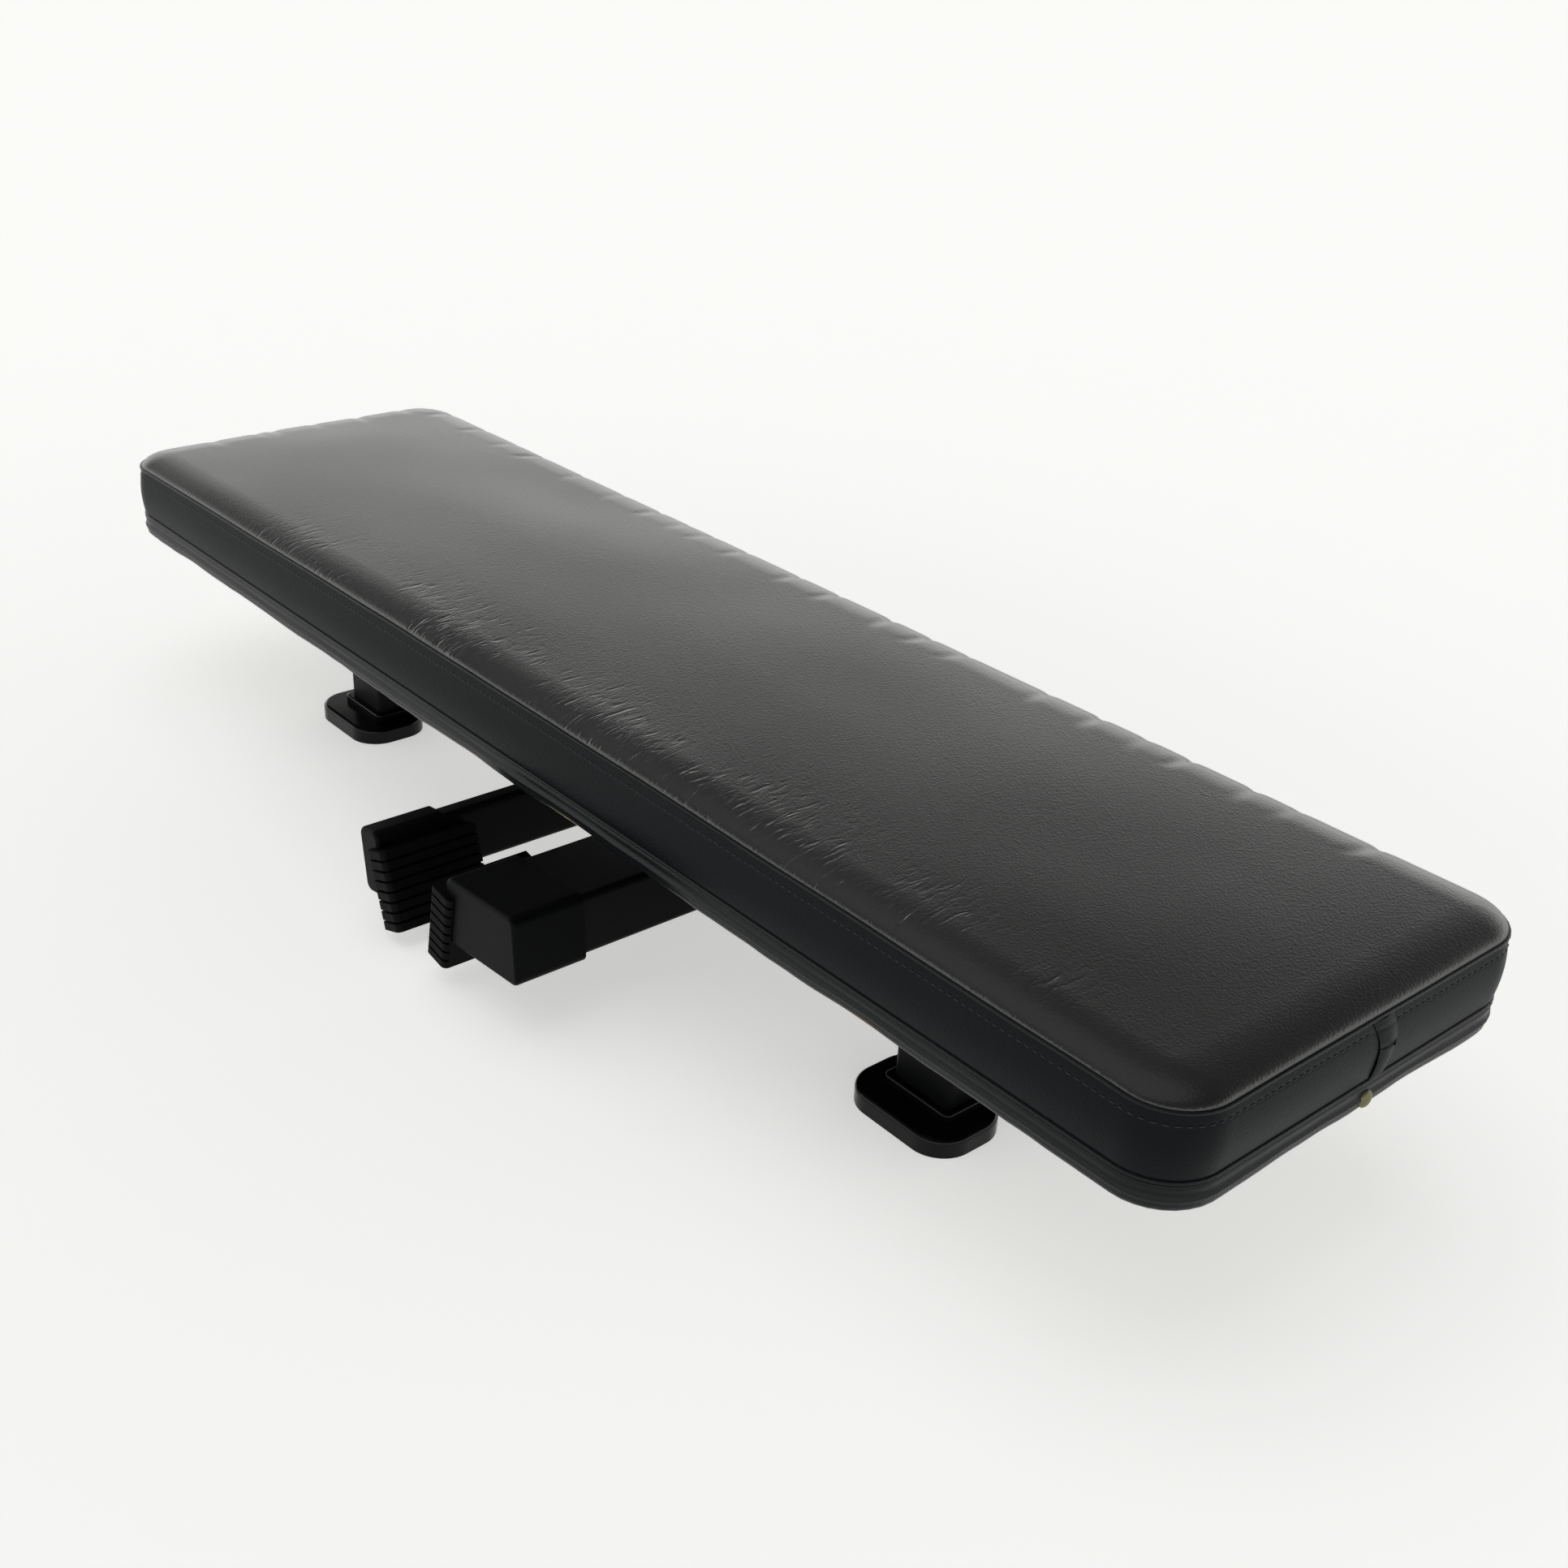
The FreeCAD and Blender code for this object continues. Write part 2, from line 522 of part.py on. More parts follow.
def make_sole(end, side):
    """Ribbed rubber sole on the cap's inner flank; it lies flat on the floor when the leg is open."""
    place = LEG_PLACES[end]
    sign = SIDES[side]
    near = CAP_OUTER_END + SOLE_OVERHANG
    far = near - SOLE_LENGTH
    stations = sorted((sign * near, sign * far))
    pitch = (SOLE_HEIGHT + RIB_GAP) / RIB_COUNT
    core_stations = sorted((sign * (near - RIB_DEPTH), sign * far))
    sole = Part.makeBox(SOLE_BODY - RIB_DEPTH, core_stations[1] - core_stations[0], SOLE_HEIGHT,
                        V(-SOLE_BODY, core_stations[0], -SOLE_HEIGHT / 2))
    for index in range(RIB_COUNT):
        base = -SOLE_HEIGHT / 2 + index * pitch
        rib = Part.makeBox(SOLE_BODY, stations[1] - stations[0], pitch - RIB_GAP,
                           V(-SOLE_BODY, stations[0], base))
        corner = [edge for edge in rib.Edges
                  if abs(edge.tangentAt(edge.FirstParameter).z) > 0.99
                  and abs(edge.BoundBox.YMin - sign * near) < 0.01]
        sole = sole.fuse(rib.makeFillet(SOLE_CORNER, corner))
    sole = sole.removeSplitter()
    sole.rotate(ORIGIN, Y_AXIS, -place["lean"])
    if ENDS[end] > 0:
        sole = sole.mirror(ORIGIN, X_AXIS)
    sole.translate(V(place["hinge_x"] - ENDS[end] * sole_reach(end), 0, place["sole_z"]))
    sole = sole.cut(place_bar(cap_block(end, side, SOLE_GAP), end))
    sole = sole.cut(bar_outline(end))
    return max(sole.Solids, key=lambda solid: solid.Volume)


def bar_outline(end):
    """The folded foot bar as a plain block, for cutting its neighbours back to it."""
    block = section_bar(LEG_PLACES[end]["bar_depth"], FOOT_BAR_HEIGHT, FOOT_BAR_CORNER,
                        -FOOT_BAR_HALF, FOOT_BAR_HALF)
    return place_bar(block, end)


def leg_frame(end):
    """Length and slope of the line from the pivot to the folded foot bar's middle."""
    line = hinge_point(end) - bar_middle(end)
    return line.Length, math.degrees(math.atan2(line.z, abs(line.x)))


def place_leg(shape, end):
    """Move a shape made with the pivot at the origin and the leg along +X to its folded place."""
    slope = leg_frame(end)[1]
    placed = shape.copy()
    placed.rotate(ORIGIN, Y_AXIS, slope)
    if ENDS[end] > 0:
        placed = placed.mirror(ORIGIN, X_AXIS)
    placed.translate(hinge_point(end))
    return placed


def leg_block(start, stop, width, height, corner):
    """A block along X with rounded long edges, centred on the X axis."""
    block = Part.makeBox(stop - start, width, height, V(start, -width / 2, -height / 2))
    along = [edge for edge in block.Edges if abs(edge.tangentAt(edge.FirstParameter).x) > 0.99]
    return block.makeFillet(corner, along)


def make_leg_tube(end):
    """Leg tube, drilled for the bushes and for the lock's two positions, mitred to the foot bar."""
    length = leg_frame(end)[0]
    tube = leg_block(-LEG_OVERRUN, length, LEG_WIDTH, LEG_HEIGHT, LEG_CORNER)
    bore = leg_block(-LEG_OVERRUN, length, LEG_WIDTH - 2 * LEG_WALL, LEG_HEIGHT - 2 * LEG_WALL,
                     LEG_CORNER - LEG_WALL)
    tube = place_leg(tube.cut(bore), end)
    pivot = hinge_point(end)
    tube = tube.cut(rod(PIVOT_RADIUS + PIVOT_CLEARANCE + BUSH_WALL, -CHEEK_Y, CHEEK_Y, pivot))
    open_turn = 90 + LEG_PLACES[end]["lean"]
    for turn in (0, open_turn):
        hole = rod(LOCK_HOLE_RADIUS, CHEEK_Y - LEG_WALL, CHEEK_Y, lock_point(end))
        hole.rotate(pivot, Y_AXIS, ENDS[end] * turn)
        tube = tube.cut(hole)
    tube = tube.cut(bar_outline(end))
    return max(tube.Solids, key=lambda solid: solid.Volume)


def make_leg_plug(end):
    """Plastic plug in the open end of the leg tube, beyond the pivot."""
    head = leg_block(-LEG_OVERRUN - PLUG_HEAD, -LEG_OVERRUN, LEG_WIDTH, LEG_HEIGHT, LEG_CORNER)
    head = head.makeFillet(PLUG_ROUND, edges_at(head, -LEG_OVERRUN - PLUG_HEAD, "x"))
    gap = LEG_WALL + PLUG_CLEARANCE
    insert = leg_block(-LEG_OVERRUN, -LEG_OVERRUN + PLUG_INSERT, LEG_WIDTH - 2 * gap,
                       LEG_HEIGHT - 2 * gap, LEG_CORNER - LEG_WALL)
    return place_leg(head.fuse(insert), end)


# ---- pull pins --------------------------------------------------------------------------------------
def make_lock_pin(end):
    """Steel pin that slides through the left post, with the collar that its spring bears on."""
    axis = lock_point(end)
    tip = CHEEK_Y + LOCK_TIP_GAP
    tail = POST_OUTER_Y + HOUSING_LENGTH + KNOB_GAP + KNOB_LENGTH / 2
    pin = rod(LOCK_RADIUS, tip, tail, axis)
    collar_start = POST_INNER_Y + POST_WALL + LOCK_COLLAR_GAP
    return pin.fuse(rod(LOCK_COLLAR_RADIUS, collar_start, collar_start + LOCK_COLLAR_WIDTH, axis))


def make_lock_housing(end):
    """Round guide welded to the outside of the left post."""
    axis = lock_point(end)
    start = POST_OUTER_Y
    body = rod(HOUSING_RADIUS, start, start + HOUSING_LENGTH, axis)
    body = body.makeFillet(HOUSING_ROUND, edges_at(body, start + HOUSING_LENGTH, "y"))
    return body.cut(rod(LOCK_RADIUS + LOCK_CLEARANCE, start, start + HOUSING_LENGTH, axis))


def make_lock_knob(end):
    """Turned plastic knob on the pin's outer end."""
    axis = lock_point(end)
    start = POST_OUTER_Y + HOUSING_LENGTH + KNOB_GAP
    neck = rod(KNOB_NECK_RADIUS, start, start + KNOB_NECK, axis)
    grip = rod(KNOB_RADIUS, start + KNOB_NECK, start + KNOB_LENGTH, axis)
    ends = edges_at(grip, start + KNOB_LENGTH, "y") + edges_at(grip, start + KNOB_NECK, "y")
    grip = grip.makeFillet(KNOB_ROUND, ends)
    return neck.fuse(grip).cut(rod(LOCK_RADIUS, start, start + KNOB_LENGTH / 2, axis))


def make_lock_spring(end):
    """Coil spring between the pin's collar and the post's outer wall, bent in short straight runs."""
    axis = lock_point(end)
    start = POST_INNER_Y + POST_WALL + LOCK_COLLAR_GAP + LOCK_COLLAR_WIDTH + SPRING_WIRE
    stop = POST_OUTER_Y - POST_WALL - SPRING_WIRE
    corners = []
    for step in range(SPRING_TURNS * SPRING_STEPS + 1):
        turn = math.radians(360 * step / SPRING_STEPS)
        advance = (stop - start) * step / (SPRING_TURNS * SPRING_STEPS)
        corners.append(V(axis.x + SPRING_RADIUS * math.cos(turn), start + advance,
                         axis.z + SPRING_RADIUS * math.sin(turn)))
    section = Part.Wire(Part.makeCircle(SPRING_WIRE, corners[0], corners[1] - corners[0]))
    return Part.makePolygon(corners).makePipeShell([section], True, False, 1)


def build():
    foam = make_foam()
    nodes = {
        "foam_core": foam,
        "pad_cover": make_cover(foam),
        "top_seam_piping": make_piping(TOP_SEAM),
        "base_piping": make_piping(BOARD_TOP),
        "plywood_base": make_board(),
        "base_wrap": make_wrap(),
        "bottom_lining": make_lining(),
        "cover_staples": make_staples(),
        "flap_tack": make_tack(),
        "tee_nuts": make_tee_nuts(),
        "plate_bolts": make_plate_bolts(),
        "plate_washers": make_plate_washers(),
        "pivot_washers": make_pivot_washers(),
    }
    for end in ENDS:
        nodes[end + "_mounting_plate"] = make_plate(end)
        nodes[end + "_pivot_bolt"] = make_pivot_bolt(end)
        nodes[end + "_pivot_nut"] = make_pivot_nut(end)
        nodes[end + "_leg_bushes"] = make_bushes(end)
        nodes[end + "_leg_tube"] = make_leg_tube(end)
        nodes[end + "_leg_plug"] = make_leg_plug(end)
        nodes[end + "_foot_bar"] = make_foot_bar(end)
        nodes[end + "_lock_pin"] = make_lock_pin(end)
        nodes[end + "_lock_housing"] = make_lock_housing(end)
        nodes[end + "_lock_knob"] = make_lock_knob(end)
        nodes[end + "_lock_spring"] = make_lock_spring(end)
        for side in SIDES:
            nodes[end + "_" + side + "_post"] = make_post(end, side)
            nodes[end + "_" + side + "_foot"] = make_glide(end, side)
            nodes[end + "_" + side + "_end_cap"] = make_cap(end, side)
            nodes[end + "_" + side + "_sole"] = make_sole(end, side)
    return nodes


os.makedirs("parts", exist_ok=True)
for name, shape in build().items():
    shape.exportStep("parts/" + name + ".step")
    print(name, "valid" if shape.isValid() else "INVALID", len(shape.Solids), "solids",
          round(shape.Volume / 1000, 1), "cm3")
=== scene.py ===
import bmesh
import bpy
import math
import random
from mathutils import Matrix, Vector, noise


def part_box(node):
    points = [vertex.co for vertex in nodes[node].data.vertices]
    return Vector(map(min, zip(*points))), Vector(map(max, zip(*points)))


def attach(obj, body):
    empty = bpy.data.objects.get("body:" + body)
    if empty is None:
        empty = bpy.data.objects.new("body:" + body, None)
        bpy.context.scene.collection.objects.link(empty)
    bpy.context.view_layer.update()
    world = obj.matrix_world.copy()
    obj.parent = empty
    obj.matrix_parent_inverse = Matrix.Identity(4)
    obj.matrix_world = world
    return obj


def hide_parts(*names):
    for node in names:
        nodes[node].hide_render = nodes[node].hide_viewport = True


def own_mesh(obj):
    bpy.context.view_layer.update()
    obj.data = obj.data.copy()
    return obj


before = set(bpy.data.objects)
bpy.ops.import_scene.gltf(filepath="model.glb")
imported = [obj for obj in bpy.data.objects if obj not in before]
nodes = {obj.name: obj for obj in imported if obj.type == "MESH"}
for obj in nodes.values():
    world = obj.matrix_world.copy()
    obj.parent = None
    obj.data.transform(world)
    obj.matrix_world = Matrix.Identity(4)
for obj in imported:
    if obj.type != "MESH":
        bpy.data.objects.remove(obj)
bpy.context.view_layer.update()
scene = bpy.context.scene
pieces = scene.collection


# ---- Camera --------------------------------------------------------------------------------------
# A normal studio lens of about 43 mm, held above and to the right of the front end, so that the
# pad runs away from the lower right to the upper left.
LENS_MM = 42.93
CAMERA_PLACE = (0.9135, -0.7091, 0.6628)
CAMERA_TURN_DEG = (62.63, -2.73, 49.69)
SENSOR_MM = 36.0
FARTHEST_SEEN = 60.0

camera_data = bpy.data.cameras.new("studio_camera")
camera_data.lens = LENS_MM
camera_data.sensor_width = SENSOR_MM
camera_data.clip_end = FARTHEST_SEEN
camera = bpy.data.objects.new("studio_camera", camera_data)
camera.location = CAMERA_PLACE
camera.rotation_euler = [math.radians(angle) for angle in CAMERA_TURN_DEG]
pieces.objects.link(camera)
scene.camera = camera
scene.view_settings.view_transform = "Standard"
scene.view_settings.look = "None"


# ---- Studio: pale floor, white surround and one large soft light overhead ------------------------
# The floor is a softly glowing light table, so shadows stay faint. The surround is brightest at
# the horizon and dim overhead: the far end of the pad takes a sheen and the near end stays dark.
FLOOR_RADIUS = 30.0
FLOOR_COLOUR = (0.93, 0.93, 0.915, 1.0)
FLOOR_GLOW = 0.50
HORIZON_LIGHT = (2.1, 2.1, 2.1 * 0.98, 1.0)
ZENITH_LIGHT = (0.12, 0.12, 0.12, 1.0)
BRIGHT_UP_TO = 0.26             # heights on a unit sky dome, where the bright band starts to fade
DIM_FROM = 0.44                 # and where it has faded out
SUN_STRENGTH = 0.55
SUN_SPREAD_DEG = 70.0
SUN_TILT_DEG = (8, -14, 0)


def new_piece(name, bm, smooth=True):
    """A new object that holds a finished bmesh."""
    mesh = bpy.data.meshes.new(name)
    bm.to_mesh(mesh)
    bm.free()
    mesh.polygons.foreach_set("use_smooth", [smooth] * len(mesh.polygons))
    made = bpy.data.objects.new(name, mesh)
    pieces.objects.link(made)
    return made


floor_bm = bmesh.new()
bmesh.ops.create_circle(floor_bm, cap_ends=True, segments=64, radius=FLOOR_RADIUS)
floor = new_piece("studio_floor", floor_bm, smooth=False)
floor_paint = bpy.data.materials.new("pale_floor")
floor_paint.use_nodes = True
floor_shader = floor_paint.node_tree.nodes["Principled BSDF"]
floor_shader.inputs["Base Color"].default_value = FLOOR_COLOUR
floor_shader.inputs["Roughness"].default_value = 0.9
floor_shader.inputs["Specular IOR Level"].default_value = 0.0
floor_shader.inputs["Emission Color"].default_value = FLOOR_COLOUR
floor_shader.inputs["Emission Strength"].default_value = FLOOR_GLOW
floor.data.materials.append(floor_paint)

world = bpy.data.worlds.new("studio_surround")
scene.world = world
world.use_nodes = True
sky = world.node_tree
sky_light = sky.nodes["Background"]
direction = sky.nodes.new("ShaderNodeTexCoord")
height_of = sky.nodes.new("ShaderNodeSeparateXYZ")
falloff = sky.nodes.new("ShaderNodeValToRGB")
sky.links.new(direction.outputs["Generated"], height_of.inputs["Vector"])
sky.links.new(height_of.outputs["Z"], falloff.inputs["Fac"])
sky.links.new(falloff.outputs["Color"], sky_light.inputs["Color"])
falloff.color_ramp.interpolation = "EASE"
falloff.color_ramp.elements[0].position = BRIGHT_UP_TO
falloff.color_ramp.elements[0].color = HORIZON_LIGHT
falloff.color_ramp.elements[1].position = DIM_FROM
falloff.color_ramp.elements[1].color = ZENITH_LIGHT

sun_data = bpy.data.lights.new("soft_overhead", "SUN")
sun_data.energy = SUN_STRENGTH
sun_data.angle = math.radians(SUN_SPREAD_DEG)
sun = bpy.data.objects.new("soft_overhead", sun_data)
sun.rotation_euler = [math.radians(angle) for angle in SUN_TILT_DEG]
pieces.objects.link(sun)


# ---- Pad cover -----------------------------------------------------------------------------------
# Upholstery vinyl with a fine leather grain: a top panel and a side strip, sewn to a cap and
# pulled over the foam. The crown comes from the foam's push against the sewn edge, and the far
# and rear edges are gathered into small puckers where the cover was pulled down and stapled.
SIM_VOXEL = 0.006
START_DROP = 0.006           # the top starts this much under the crown and is pushed up to it
PUSH_LIMIT = 0.0065
SHOULDER = 0.026             # width of the rounded edge above the top seam
SHOULDER_RISE = 0.0092
CROWN_RISE = 0.0026          # the foam's dome at mid-pad, over the rounded edge
CORNER_RADIUS = 0.0335
SIDE_BULGE = 0.0022
HEM_TUCK = 0.0009            # how far the strip's lower edge is drawn in above the base piping
WAIST = 0.0045               # the right-hand seam is drawn in this much at mid-length
HEM_DROP = 0.0012            # how far it reaches down to that piping
PUCKER_PITCH = 0.047
PUCKER_DEPTH = 0.0016
PUCKER_WIDTH = 0.0042
PUCKER_REACH = 0.045         # no gather runs farther in than this
DRIFT = 0.0008               # slow unevenness of the crown
GATHER_SEED = 11
FOAM_PRESSURE = 4.0
SIM_FRAMES = 20
STITCH_DROP = 0.0068         # from the top seam down to the top stitching
STITCH_DIP = 0.00025         # the strip is drawn in this much along the stitches
STITCH_DIP_REACH = 0.0022
PEBBLES_PER_METRE = 750.0
PITS_PER_METRE = 1500.0
GRAIN_DEPTH = 0.00012
CREASE_DEPTH = 0.00055
CREASES_PER_METRE = (250.0, 62.0, 60.0)

cover_low, cover_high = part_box("pad_cover")
piping_low, piping_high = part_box("top_seam_piping")
seam_level = (piping_low.z + piping_high.z) / 2
half_length = cover_high.x
half_width = cover_high.y
STITCH_LEVEL = seam_level - STITCH_DROP


def outline(x, y):
    """Distance outside the pad's rounded plan outline (negative inside) and the way straight out."""
    past_x = abs(x) - (half_length - CORNER_RADIUS)
    past_y = abs(y) - (half_width - CORNER_RADIUS)
    sign_x = 1 if x >= 0 else -1
    sign_y = 1 if y >= 0 else -1
    if past_x > 0 and past_y > 0:
        reach = math.hypot(past_x, past_y)
        return reach - CORNER_RADIUS, Vector((sign_x * past_x / reach, sign_y * past_y / reach, 0))
    if past_x > past_y:
        return past_x - CORNER_RADIUS, Vector((sign_x, 0, 0))
    return past_y - CORNER_RADIUS, Vector((0, sign_y, 0))


def smoothstep(low, high, value):
    part = min(1.0, max(0.0, (value - low) / (high - low)))
    return part * part * (3 - 2 * part)


def waist(point):
    """Shift of the sewn cap's right side: its seam is drawn in at mid-length, its hem is not."""
    x, y, z = point
    rise = smoothstep(cover_low.z, seam_level, z)
    return Vector((0, WAIST * (1 - (x / half_length) ** 2) * rise * smoothstep(-0.05, -half_width, y), 0))


def applied_copy(source, name):
    """A new object holding the source's mesh with its modifiers applied."""
    depsgraph = bpy.context.evaluated_depsgraph_get()
    baked = bpy.data.meshes.new_from_object(source.evaluated_get(depsgraph))
    copy = bpy.data.objects.new(name, baked)
    pieces.objects.link(copy)
    bpy.data.objects.remove(source)
    return copy


bm = bmesh.new()
bmesh.ops.create_cube(bm, size=1.0)
start_top = cover_high.z - START_DROP
bmesh.ops.scale(bm, vec=(2 * half_length, 2 * half_width, start_top - cover_low.z), verts=bm.verts)
bmesh.ops.translate(bm, vec=(0, 0, (start_top + cover_low.z) / 2), verts=bm.verts)
uprights = [edge for edge in bm.edges
            if abs((edge.verts[0].co - edge.verts[1].co).normalized().z) > 0.9]
bmesh.ops.bevel(bm, geom=uprights, offset=CORNER_RADIUS, segments=14, profile=0.5,
                affect="EDGES", material=-1)
blank = new_piece("cover_blank", bm, smooth=False)
remesh = blank.modifiers.new("weave", "REMESH")
remesh.mode = "VOXEL"
remesh.voxel_size = SIM_VOXEL
blank = applied_copy(blank, "cover_blank")

sewn = blank.vertex_groups.new(name="sewn")
for vert in blank.data.vertices:
    gap, out = outline(vert.co.x, vert.co.y)
    if gap > -SIM_VOXEL / 2 or vert.co.z < start_top - SIM_VOXEL / 2:
        sewn.add([vert.index], 1.0, "REPLACE")
rest = [vert.co.copy() for vert in blank.data.vertices]
cloth = blank.modifiers.new("foam_push", "CLOTH")
cloth.settings.quality = 4
cloth.settings.mass = 0.4
cloth.settings.tension_stiffness = 12
cloth.settings.compression_stiffness = 12
cloth.settings.shear_stiffness = 6
cloth.settings.bending_stiffness = 1.0
cloth.settings.vertex_group_mass = "sewn"
cloth.settings.use_pressure = True
cloth.settings.uniform_pressure_force = FOAM_PRESSURE
cloth.settings.effector_weights.gravity = 0.0
cloth.collision_settings.use_collision = False
scene.frame_start = 1
scene.frame_end = SIM_FRAMES
for step in range(1, SIM_FRAMES + 1):
    scene.frame_set(step)
blank = applied_copy(blank, "cover_blank")
scene.frame_set(1)
for vert, start in zip(blank.data.vertices, rest):
    move = vert.co - start
    if move.length > PUSH_LIMIT:
        vert.co = start + move * (PUSH_LIMIT / move.length)

settle = blank.modifiers.new("settle", "SMOOTH")
settle.factor = 0.5
settle.iterations = 3
divide = blank.modifiers.new("divide", "SUBSURF")
divide.levels = 1
divide.render_levels = 1
cover = applied_copy(blank, "vinyl_cover")

random.seed(GATHER_SEED)


def gather_stations(start, stop, tightest, loosest):
    """Uneven stations for gathers along an edge, each with a strength and a slant."""
    stations = []
    place = start
    while place < stop:
        stations.append((place, random.uniform(0.5, 1.2), random.uniform(-0.6, 0.6)))
        place += PUCKER_PITCH * random.uniform(tightest, loosest)
    return stations


def pucker(along, inward, gathers):
    """Depth of the gathers at a place: narrow slanting folds that die out away from the edge."""
    depth = 0.0
    for middle, weight, slant in gathers:
        off = along - middle - slant * inward
        if abs(off) < 0.02:
            depth += weight * math.exp(-(off / PUCKER_WIDTH) ** 2)
    return depth * smoothstep(0.003, 0.010, inward) * (1 - smoothstep(0.012, 0.036, inward))


far_puckers = gather_stations(0.04 - half_length, half_length - 0.05, 0.75, 1.25)
rear_puckers = gather_stations(0.03 - half_width, half_width - 0.03, 0.6, 0.9)
shelf = seam_level + SHOULDER_RISE
for vert in cover.data.vertices:
    x, y, z = vert.co
    gap, out = outline(x, y)
    inward = max(0.0, -gap)
    if z >= seam_level and inward < SHOULDER:
        turn = math.atan2(z - seam_level, SHOULDER - inward)
        inward_now = SHOULDER - SHOULDER * math.cos(turn)
        vert.co += out * (-gap - inward_now)
        vert.co.z = seam_level + SHOULDER_RISE * math.sin(turn)
    elif z >= seam_level:
        vert.co.z = shelf
    elif z > cover_low.z + 0.002 or inward < 0.012:
        rise = max(0.0, min(1.0, (z - cover_low.z) / (seam_level - cover_low.z)))
        bulge = SIDE_BULGE * math.sin(math.pi * rise) - HEM_TUCK * (1 - smoothstep(0.0, 0.10, rise))
        vert.co += out * (-gap + bulge)
        vert.co.z -= HEM_DROP * (1 - smoothstep(0.0, 0.12, rise))
    if z >= seam_level and inward < PUCKER_REACH:
        gathered = 0.0
        if y > 0:
            gathered += pucker(x, half_width - y, far_puckers)
        if x < 0:
            gathered += pucker(y, half_length + x, rear_puckers)
        vert.co.z -= PUCKER_DEPTH * gathered
    if z >= seam_level:
        pushed = max(0.0, min(1.0, (z - start_top) / PUSH_LIMIT))
        dome = (1 - (x / half_length) ** 6) * (1 - (y / half_width) ** 2)
        drift = noise.noise(Vector((x * 7, y * 11, 0.3)))
        lift = CROWN_RISE * dome * (0.6 + 0.4 * pushed) + DRIFT * drift
        vert.co.z += lift * smoothstep(0.0, SHOULDER, inward)
    vert.co += waist(vert.co)

cover_faces = cover.data.polygons
cover_faces.foreach_set("use_smooth", [True] * len(cover_faces))


def grain_group():
    """Leather grain for vinyl: small pebbles, fine pits, and a slow change of tone over the panel."""
    group = bpy.data.node_groups.new("leather_grain", "ShaderNodeTree")
    group.interface.new_socket("Pebbles per metre", in_out="INPUT", socket_type="NodeSocketFloat")
    group.interface.new_socket("Height", in_out="OUTPUT", socket_type="NodeSocketFloat")
    group.interface.new_socket("Tone", in_out="OUTPUT", socket_type="NodeSocketFloat")
    inside = group.nodes.new("NodeGroupInput")
    result = group.nodes.new("NodeGroupOutput")
    place = group.nodes.new("ShaderNodeTexCoord")
    pebbles = group.nodes.new("ShaderNodeTexVoronoi")
    pebbles.feature = "SMOOTH_F1"
    pits = group.nodes.new("ShaderNodeTexNoise")
    pits.inputs["Scale"].default_value = PITS_PER_METRE
    pits.inputs["Detail"].default_value = 2.0
    tone = group.nodes.new("ShaderNodeTexNoise")
    tone.inputs["Scale"].default_value = 6.0
    tone.inputs["Detail"].default_value = 4.0
    both = group.nodes.new("ShaderNodeMath")
    both.operation = "MULTIPLY_ADD"
    both.inputs[1].default_value = 0.35
    for texture in (pebbles, pits, tone):
        group.links.new(place.outputs["Object"], texture.inputs["Vector"])
    group.links.new(inside.outputs["Pebbles per metre"], pebbles.inputs["Scale"])
    group.links.new(pits.outputs["Fac"], both.inputs[0])
    group.links.new(pebbles.outputs["Distance"], both.inputs[2])
    group.links.new(both.outputs["Value"], result.inputs["Height"])
    group.links.new(tone.outputs["Fac"], result.inputs["Tone"])
    return group


leather_grain = grain_group()


def node_math(tree, operation, first, second):
    """A Math node; first and second are sockets or plain numbers."""
    made = tree.nodes.new("ShaderNodeMath")
    made.operation = operation
    for index, value in enumerate((first, second)):
        if isinstance(value, (int, float)):
            made.inputs[index].default_value = value
        else:
            tree.links.new(value, made.inputs[index])
    return made.outputs["Value"]


def node_range(tree, value, low, high):
    """A smooth step of a value from 0 at low to 1 at high."""
    made = tree.nodes.new("ShaderNodeMapRange")
    made.interpolation_type = "SMOOTHSTEP"
    made.inputs["From Min"].default_value = low
    made.inputs["From Max"].default_value = high
    tree.links.new(value, made.inputs["Value"])
    return made.outputs["Result"]


